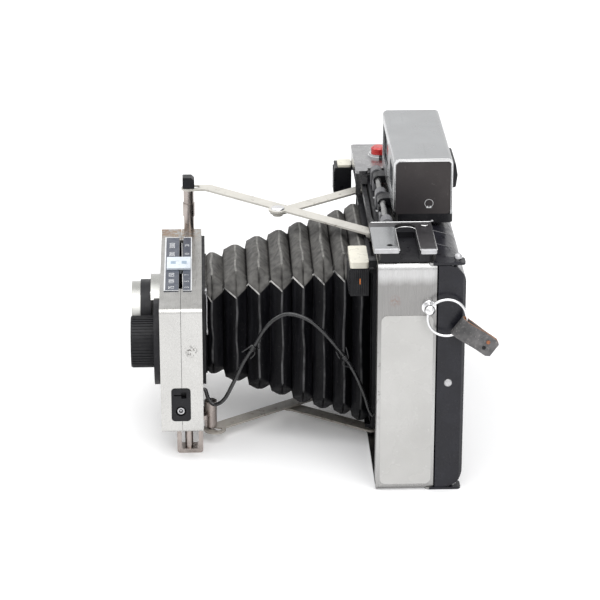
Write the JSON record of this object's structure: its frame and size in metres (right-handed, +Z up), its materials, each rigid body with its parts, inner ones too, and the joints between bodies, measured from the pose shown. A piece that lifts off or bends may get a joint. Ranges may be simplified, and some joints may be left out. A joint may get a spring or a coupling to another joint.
{
  "type": "folding instant camera",
  "caption": "Folding pack-film instant camera with pleated bellows, a front standard on folding struts, a flip-up finder, a push button release and a hinged back.",
  "frame": {"origin": "mouth of the tripod bush on the base, under the lens axis", "axes": "+X towards the end with the flash shoe, lens looks along -Y, +Z up"},
  "size_m": [0.1953, 0.1775, 0.1515],
  "materials": {
    "shell_metal": "brushed, worn",
    "black_plastic": "moulded, satin",
    "black_gloss": "smooth, glossy",
    "black_metal": "black enamel",
    "grey_metal": "grey",
    "chrome": "polished",
    "nickel": "pinkish nickel, worn",
    "steel": "bare steel",
    "strut_enamel": "ivory beige, worn",
    "ivory_plastic": "ivory",
    "white_plastic": "white",
    "red_plastic": "red",
    "scale_paint": "blue grey print",
    "label": "blank label",
    "bellows_cloth": "coated cloth",
    "rubber": "cord cover",
    "leather": "worn leather",
    "glass": "coated",
    "circuit_green": "lacquer",
    "battery_sleeve": "plain sleeve",
    "brass": "tarnished"
  },
  "bodies": {
    "root": {"body_shell": "shell_metal", "body_frame": "black_plastic", "top_deck": "black_plastic", "release_housing": "shell_metal", "button_collar": "chrome", "hinge_bracket": "grey_metal", "hinge_rod": "steel", "flash_base": "black_plastic", "flash_plate": "grey_metal", "flash_clip": "chrome", "sticker": "label", "strap_lugs": "chrome", "tripod_bush": "steel", "door_pin": "steel", "roller_frame": "steel", "battery": "battery_sleeve", "battery_clip": "brass", "guide_rods": "steel"},
    "shutter_button": {"shutter_button": "red_plastic"},
    "back_door": {"back_door": "black_gloss", "pressure_plate": "black_metal"},
    "door_latch": {"door_latch": "steel"},
    "front_roller": {"front_roller": "chrome"},
    "rear_roller": {"rear_roller": "chrome"},
    "focus_bar": {"focus_bar": "black_plastic", "focus_caps": "ivory_plastic", "focus_grips": "black_plastic"},
    "carriage": {"carriage": "black_plastic", "bellows": "bellows_cloth", "release_lead": "rubber"},
    "top_brace": {"top_brace": "strut_enamel"},
    "top_arm": {"top_arm": "strut_enamel"},
    "low_brace": {"low_brace": "strut_enamel"},
    "low_arm": {"low_arm": "strut_enamel"},
    "standard": {"front_cover": "shell_metal", "rear_cover": "shell_metal", "bellows_plate": "black_metal", "scale_plates": "scale_paint", "socket_panel": "black_plastic", "flash_socket": "steel", "top_post": "nickel", "post_cap": "black_plastic", "low_post": "nickel", "foot": "chrome", "lens_mount": "shell_metal", "lens_ring": "black_plastic", "lens_bezel": "chrome", "lens_glass": "glass", "shutter_board": "black_metal", "circuit_board": "circuit_green", "eye_glass": "glass"},
    "speed_slider": {"speed_slider": "white_plastic"},
    "eye_barrel": {"eye_barrel": "black_plastic"},
    "cocking_lever": {"cocking_lever": "black_plastic"},
    "shutter_blade": {"shutter_blade": "black_metal"},
    "finder": {"finder_base": "black_plastic", "finder_case": "black_plastic", "finder_cover": "shell_metal"},
    "strap_ring": {"strap_ring": "chrome"},
    "strap_tab": {"strap_tab": "leather"}
  },
  "joints": [
    {"name": "fold", "type": "slide", "parent": "carriage", "child": "standard", "axis": [0, 1, 0], "range_m": [0, 0.07], "deforming": ["bellows", "release_lead"]},
    {"name": "top_brace_turn", "type": "hinge", "parent": "carriage", "child": "top_brace", "pos_m": [-0.056, -0.012, 0.103], "axis": [0, 0, 1], "range_deg": [0, 41.11]},
    {"name": "top_arm_turn", "type": "hinge", "parent": "top_brace", "child": "top_arm", "pos_m": [-0.02, -0.058, 0.104], "axis": [0, 0, 1], "range_deg": [-82.22, 0]},
    {"name": "low_brace_turn", "type": "hinge", "parent": "carriage", "child": "low_brace", "pos_m": [0.033, -0.012, 0.004], "axis": [0, 0, 1], "range_deg": [-47.03, 0]},
    {"name": "low_arm_turn", "type": "hinge", "parent": "low_brace", "child": "low_arm", "pos_m": [0.003, -0.053, 0.005], "axis": [0, 0, 1], "range_deg": [0, 94.07]},
    {"name": "focus", "type": "slide", "parent": "root", "child": "focus_bar", "axis": [1, 0, 0], "range_m": [0, 0.006]},
    {"name": "carriage_slide", "type": "slide", "parent": "root", "child": "carriage", "axis": [0, 1, 0], "range_m": [0, 0.006]},
    {"name": "shutter_press", "type": "slide", "parent": "root", "child": "shutter_button", "axis": [0, 0, -1], "range_m": [0, 0.0025], "stiffness_N_per_m": 400},
    {"name": "blade_swing", "type": "hinge", "parent": "standard", "child": "shutter_blade", "pos_m": [-0.02, -0.11, 0.038], "axis": [0, -1, 0], "range_deg": [0, 30]},
    {"name": "cocking", "type": "slide", "parent": "standard", "child": "cocking_lever", "axis": [0, 0, -1], "range_m": [0, 0.012], "stiffness_N_per_m": 60},
    {"name": "speed_set", "type": "slide", "parent": "standard", "child": "speed_slider", "axis": [1, 0, 0], "range_m": [-0.024, 0.022]},
    {"name": "exposure_turn", "type": "hinge", "parent": "standard", "child": "eye_barrel", "pos_m": [0.038, -0.125, 0.056], "axis": [0, 1, 0], "range_deg": [-30, 30]},
    {"name": "finder_fold", "type": "hinge", "parent": "root", "child": "finder", "pos_m": [0, -0.0065, 0.1205], "axis": [1, 0, 0], "range_deg": [0, 90]},
    {"name": "door_swing", "type": "hinge", "parent": "root", "child": "back_door", "pos_m": [0.094, 0.024, 0.059], "axis": [0, 0, -1], "range_deg": [0, 90]},
    {"name": "latch_slide", "type": "slide", "parent": "back_door", "child": "door_latch", "axis": [0, 0, 1], "range_m": [0, 0.005]},
    {"name": "front_roller_turn", "type": "hinge", "parent": "root", "child": "front_roller", "pos_m": [-0.069, 0.0125, 0.055], "axis": [0, 0, 1], "continuous": true},
    {"name": "rear_roller_turn", "type": "hinge", "parent": "root", "child": "rear_roller", "pos_m": [-0.069, 0.0212, 0.055], "axis": [0, 0, 1], "continuous": true},
    {"name": "ring_swing", "type": "hinge", "parent": "root", "child": "strap_ring", "pos_m": [0.1021, 0.0103, 0.096], "axis": [0, -0.4337, -0.9011], "range_deg": [0, 35]},
    {"name": "tab_swing", "type": "hinge", "parent": "strap_ring", "child": "strap_tab", "pos_m": [0.1021, 0.02603, 0.0866], "axis": [0, -0.5878, -0.809], "range_deg": [0, 50]}
  ],
  "couplings": [
    {"joint": "top_brace_turn", "follows": "fold", "rad_per_m": 10.247},
    {"joint": "top_arm_turn", "follows": "fold", "rad_per_m": -20.494},
    {"joint": "low_brace_turn", "follows": "fold", "rad_per_m": -11.725},
    {"joint": "low_arm_turn", "follows": "fold", "rad_per_m": 23.449},
    {"joint": "carriage_slide", "follows": "focus", "ratio": 1},
    {"joint": "blade_swing", "follows": "shutter_press", "rad_per_m": 208.74},
    {"joint": "rear_roller_turn", "follows": "front_roller_turn", "ratio": -1.4706}
  ]
}
